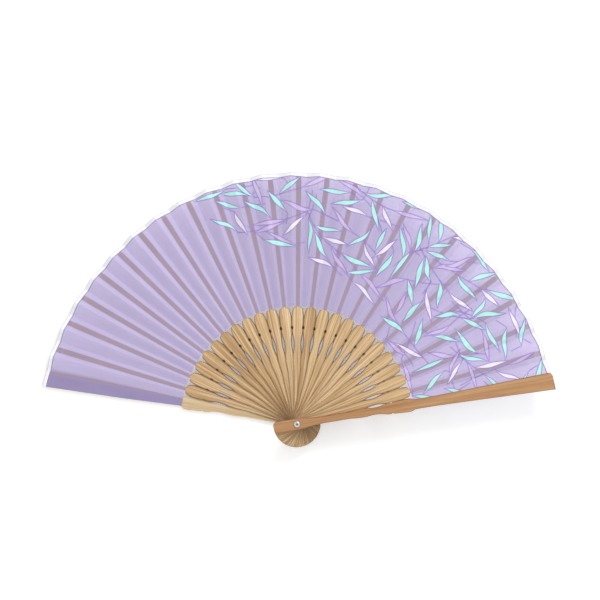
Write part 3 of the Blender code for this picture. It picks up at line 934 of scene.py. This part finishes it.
def half_thickness(number, offset, radius):
    """Half the cloth's thickness, or the bound rim's, which is rounded at its edge."""
    rim = rim_radius(number, offset)
    if radius < rim - HEM_W - HEM_STEP / 2:
        return CLOTH_T / 2
    inside = min(1.0, max(0.0, (rim - radius) / RIM_ROUND))
    return HEM_T / 2 * (RIM_THIN + (1 - RIM_THIN) * inside)


def zone_slot(number, column, row):
    """Slot of a cell that carries no print."""
    if row < CLOTH_ROWS:
        return "doubled" if number == 0 and column < DOUBLED_COLUMNS else "cloth"
    # The rim row is grey for painted shade on the tape's rounded edge
    return ("seam", "seam", "tape", "rim")[row - CLOTH_ROWS]


def pleat_grid(number):
    """Grid points in millimetres beside their stick, and the cells between them."""
    count = len(columns_at(number, LEAF_OUTER))
    points, cells, zones = [], [], []
    rings = len(rows_at(number, 0.0))
    for column in range(count):
        offset = columns_at(number, LEAF_OUTER)[column]
        for ring in range(rings):
            radius = rows_at(number, offset)[ring]
            turn = columns_at(number, radius)[column]
            radius = rows_at(number, turn)[ring]
            points.append((radius * math.sin(turn) / MM, radius * math.cos(turn) / MM))
    for column in range(count - 1):
        for ring in range(rings - 1):
            first = column * rings + ring
            cells.append([first, first + rings, first + rings + 1, first + 1])
            zones.append(zone_slot(number, column, ring))
    return points, cells, zones


def reaches(outline, points):
    """True if an outline's box meets the box of the points."""
    for axis in (0, 1):
        if min(p[axis] for p in outline) > max(p[axis] for p in points):
            return False
        if max(p[axis] for p in outline) < min(p[axis] for p in points):
            return False
    return True


def inside(outline, points):
    """Which of the points lie inside an outline."""
    found = np.zeros(len(points), bool)
    x, y = points[:, 0], points[:, 1]
    for (ax, ay), (bx, by) in zip(outline, outline[1:] + outline[:1]):
        if ay != by:
            crossing = (ay > y) != (by > y)
            found ^= crossing & (x < (bx - ax) * (y - ay) / (by - ay) + ax)
    return found


def triangulated(number, motifs):
    """The pleat in plan as points, triangles and each triangle's slot."""
    points, cells, zones = pleat_grid(number)
    angle = support_angle(number)
    coords, edges, nearby = list(points), [], []
    for slot, outline in motifs:
        local = to_local(outline, angle)
        if reaches(local, points):
            first, count = len(coords), len(local)
            edges += [(first + i, first + (i + 1) % count) for i in range(count)]
            coords += local
            nearby.append((slot, local))
    made = delaunay_2d_cdt([Vector(p) for p in coords], edges, cells, 1, CDT_EPSILON)
    triangles = [face for face, origin in zip(made[2], made[5]) if origin]
    chosen = [zones[origin[0]] for origin in made[5] if origin]
    plan = np.array([tuple(p) for p in made[0]])
    middles = plan[np.array(triangles)].mean(axis=1)
    printable = np.array([slot in ("cloth", "doubled") for slot in chosen])
    for slot, local in nearby:
        for i in np.flatnonzero(inside(local, middles) & printable):
            chosen[i] = slot
    used = sorted({i for face in triangles for i in face})
    index = {old: new for new, old in enumerate(used)}
    return [tuple(plan[i]) for i in used], [[index[i] for i in f] for f in triangles], chosen


def fold_share(number, radius, offset):
    """How far a point of the pleat goes with the far body: 0 on the glued panel, 1 at the next."""
    if offset <= GLUED_HALF:
        return 0.0
    return (offset - nested_angle(number, radius, offset)) / PITCH


def make_pleat(number, motifs, materials):
    """One pleat of the leaf: the panel glued to its stick, and the free one that folds."""
    name = f"cloth_pleat_{number + 1:02d}" if number < GAPS else "cloth_end_flap"
    plan, triangles, slots = triangulated(number, motifs)
    angle = support_angle(number)
    middle, lift, places, weights = [], [], [], []
    for x, y in plan:
        radius = math.hypot(x, y) * MM
        offset = math.atan2(x, y)
        height, slope = height_and_slope(number, radius, offset)
        turn = angle - offset
        middle.append(Vector((radius * math.cos(turn), radius * math.sin(turn), height)))
        lift.append(half_thickness(number, offset, radius) * math.hypot(1, slope))
        places.append((across(number, radius, offset), radius))
        weights.append(fold_share(number, radius, offset) if number < GAPS else 0.0)
    count = len(plan)
    verts = [p + Vector((0, 0, up)) for p, up in zip(middle, lift)]
    verts += [p - Vector((0, 0, up)) for p, up in zip(middle, lift)]
    faces = [tuple(f) for f in triangles] + [tuple(i + count for i in reversed(f)) for f in triangles]
    indices = [SLOTS.index(s) for s in slots] * 2
    uses = {}
    for face, slot in zip(triangles, slots):
        for i, j in zip(face, face[1:] + face[:1]):
            uses.setdefault(frozenset((i, j)), []).append((i, j, slot))
    for edges in uses.values():
        if len(edges) == 1:
            i, j, slot = edges[0]
            faces.append((i, i + count, j + count, j))
            indices.append(SLOTS.index(slot))
    pleat = make_object(name, verts, faces)
    mesh = pleat.data
    mesh.polygons.foreach_set("material_index", indices)
    mesh.polygons.foreach_set("use_smooth", [True] * len(faces))
    layer = mesh.uv_layers.new(name="cloth")
    for loop in mesh.loops:
        layer.data[loop.index].uv = places[loop.vertex_index % count]
    for material in materials:
        mesh.materials.append(material)
    mesh.set_sharp_from_angle(angle=SHARP_EDGE)
    mesh.update()
    area = sum((middle[b] - middle[a]).cross(middle[c] - middle[a]).length / 2 for a, b, c in triangles)
    return pleat, weights * 2, area


def make_leaf():
    """All pleats, each replacing the CAD's, with the end flap going with the front guard."""
    motifs = make_print()
    stretches = make_cloth_materials()
    for number in range(GAPS + 1):
        materials = next(made for last, made in stretches if number <= last)
        pleat, weights, area = make_pleat(number, motifs, materials)
        if number == GAPS:
            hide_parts("leaf_end_flap")
            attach(pleat, "front_guard")
        else:
            node = f"leaf_pleat_{number + 1:02d}"
            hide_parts(node)
            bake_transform(pleat)
        length = max(rim_radius(number, offset) for offset in columns_at(number, LEAF_OUTER)) - LEAF_INNER


# Bamboo and metal


def dress(name, materials, edge_width):
    """Gives a CAD node its materials, the last of them on its eased edges."""
    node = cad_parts[name]
    node.data = node.data.copy()
    node.data.materials.clear()
    for material in materials:
        node.data.materials.append(material)
    weld = node.modifiers.new("joined", "WELD")
    weld.merge_threshold = WELD_WITHIN
    edge = node.modifiers.new("eased_edge", "BEVEL")
    edge.width = edge_width
    edge.segments = 2
    edge.limit_method = "ANGLE"
    edge.angle_limit = EASED_FROM
    edge.material = len(materials) - 1


def stick_tones(shade, warm):
    """The three tones of a stick that is lighter by a shade, and less blue where it is warm."""
    tones = []
    for tone, steps in zip(STICK_TONES, SHADE_STEPS):
        red, green, blue = (value + step * shade for value, step in zip(tone, steps))
        tones.append((red, green, blue - WARM_STEP * warm))
    return tones


def dress_bamboo():
    """Every stick and guard with its own tone and grain."""
    draw = random.Random(STICK_SEED)
    for number in range(1, INNER_STICKS + 1):
        along = number / GAPS
        shade = draw.uniform(-1, 1) + LIGHTER_BY * max(0.0, along - LIGHTER_FROM)
        tones = stick_tones(shade, draw.uniform(-1, 1))
        angle = support_angle(number)
        # How strongly this stick's edges and notches are darkened, by browning, scorch marks and painted
        # shade
        burn_and_shade_strengths = {"burn_and_shade": BURN_AND_SHADE_MOST - BURN_AND_SHADE_LESS * along, "scorched_and_shaded": 1 - FADE_SHARE * notch_fade(number)}
        face = bamboo(f"bamboo_stick_{number:02d}", angle, number, tones, **burn_and_shade_strengths)
        # The eased edges get darker tones, partly their own brown and partly painted shade
        edge = bamboo(f"bamboo_edge_{number:02d}", angle, number + EDGE_SEED, EDGE_TONES, **burn_and_shade_strengths)
        dress(f"stick_{number:02d}", [face, edge], STICK_EASED)
    pale = bamboo("bamboo_back_guard", BACK_ANGLE, BACK_SEED, BACK_TONES)
    pale_edge = bamboo("bamboo_back_edge", BACK_ANGLE, BACK_SEED + 1, BACK_EDGE_TONES)
    dress("back_guard", [pale, pale_edge], BACK_EASED)
    front = support_angle(GAPS)
    brown = bamboo("bamboo_front_guard", front, FRONT_SEED, FRONT_TONES, FRONT_ROUGHNESS, guard_edges_darker=True)
    brown_edge = bamboo("bamboo_front_edge", front, FRONT_SEED + 1, FRONT_EDGE_TONES, FRONT_ROUGHNESS)
    dress("front_guard", [brown, brown_edge], FRONT_EASED)


def make_notch_shade_skins():
    """The thin dark skins that close the notches of the sticks, for charring and painted shade, so that no
    light shows through them.
    """
    for number in range(1, INNER_STICKS + 1):
        turn = cmath.rect(MM, support_angle(number))
        low = FIRST_STICK_Z + STICK_RISE * (number - 1)
        verts, faces = [], []
        # The last stick's notch beside the front guard is open, as light shows through it in the photograph
        for side in (1, -1) if number < INNER_STICKS else (1,):
            middle = complex(SKIN_X, side * SKIN_Y)
            places = [(middle + cmath.rect(SKIN_R, side * a)) * turn for a in SKIN_ARC][::side]
            first, count = len(verts), len(places)
            verts += [(p.real, p.imag, low + up * MM) for up in (0, SKIN_T) for p in places]
            faces.append([first + i for i in range(count)][::-1])
            faces.append([first + count + i for i in range(count)])
            for i in range(count):
                j = (i + 1) % count
                faces.append([first + i, first + j, first + count + j, first + count + i])
        skin = make_object(f"notch_skin_{number:02d}", verts, faces)
        # Dark enough to paint the shade in the notch
        skin.data.materials.append(charred_and_shaded(number))
        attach(skin, f"stick_{number:02d}")


def dress_metal():
    """The rivet's pin and cap."""
    for name in ("pivot_rivet", "rivet_cap"):
        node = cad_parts[name]
        node.data.materials.clear()
        node.data.materials.append(bright_metal(name + "_metal"))


# Surroundings


def make_floor():
    """A plain white floor that shows near white to the camera and keeps the fan's shadow."""
    corners = [(x * FLOOR_HALF, y * FLOOR_HALF, 0) for x, y in ((-1, -1), (1, -1), (1, 1), (-1, 1))]
    floor = make_object("floor", corners, [(0, 1, 2, 3)])
    material = bpy.data.materials.new("white_floor")
    add, link, shader = node_maker(material)
    place = add("ShaderNodeTexCoord").outputs["Object"]
    dark, light = ((white, white, white, 1) for white in FLOOR_WHITES)
    link(ramp(add, noise_at(add, place, detail=2.0, scale=40.0), [(0.3, dark), (0.7, light)]), "Base Color")
    shader.inputs["Roughness"].default_value = 0.9
    shader.inputs["Specular IOR Level"].default_value = 0.0
    seen = add("ShaderNodeLightPath").outputs["Is Camera Ray"]
    link(math_node(add, "MULTIPLY", seen, FLOOR_GLOW), "Emission Strength")
    shader.inputs["Emission Color"].default_value = (1, 1, 1, 1)
    floor.data.materials.append(material)


def make_world():
    """Even white light, with the camera's dark shape overhead in reflections."""
    world = bpy.data.worlds.new("studio")
    bpy.context.scene.world = world
    world.use_nodes = True
    tree = world.node_tree
    background = tree.nodes["Background"]
    background.inputs["Color"].default_value = (1, 1, 1, 1)
    add = node_adder(tree)
    path = add("ShaderNodeLightPath")
    glossy = path.outputs["Is Glossy Ray"]
    direction = add("ShaderNodeTexCoord").outputs["Generated"]
    up = add("ShaderNodeSeparateXYZ", {"Vector": direction}).outputs["Z"]
    overhead = map_range(add, up, OVERHEAD_FROM, OVERHEAD_TO, 1.0, OVERHEAD_DARK)
    reflected = math_node(add, "MULTIPLY", glossy, overhead)
    bright = math_node(add, "MAXIMUM", path.outputs["Is Camera Ray"], reflected)
    fill = math_node(add, "MULTIPLY", math_node(add, "SUBTRACT", 1.0, glossy), FILL)
    tree.links.new(math_node(add, "MAXIMUM", bright, fill), background.inputs["Strength"])


def make_key():
    """A soft lamp from the upper right."""
    lamp = bpy.data.lights.new("key", "AREA")
    lamp.size = KEY_SIZE
    lamp.energy = KEY_WATTS
    key = bpy.data.objects.new("key", lamp)
    level = cmath.rect(math.cos(KEY_ELEVATION), KEY_AZIMUTH)
    away = Vector((level.real, level.imag, math.sin(KEY_ELEVATION)))
    key.location = Vector((CAMERA_X, CAMERA_Y, 0)) + away * KEY_DISTANCE
    key.rotation_euler = (-away).to_track_quat("-Z", "Y").to_euler()
    bpy.context.scene.collection.objects.link(key)


def make_camera():
    """Straight above the open fan, as the photograph was taken."""
    data = bpy.data.cameras.new("camera")
    data.sensor_width = SENSOR
    data.lens = SENSOR * CAMERA_HEIGHT / FRAME_WIDTH
    camera = bpy.data.objects.new("camera", data)
    camera.location = (CAMERA_X, CAMERA_Y, CAMERA_HEIGHT + MIDDLE_Z)
    camera.rotation_euler = (0, 0, CAMERA_ROLL)
    bpy.context.scene.collection.objects.link(camera)
    bpy.context.scene.camera = camera


make_camera()
make_leaf()
dress_bamboo()
make_notch_shade_skins()
dress_metal()
make_floor()
make_world()
make_key()
bpy.context.scene.view_settings.view_transform = "Standard"
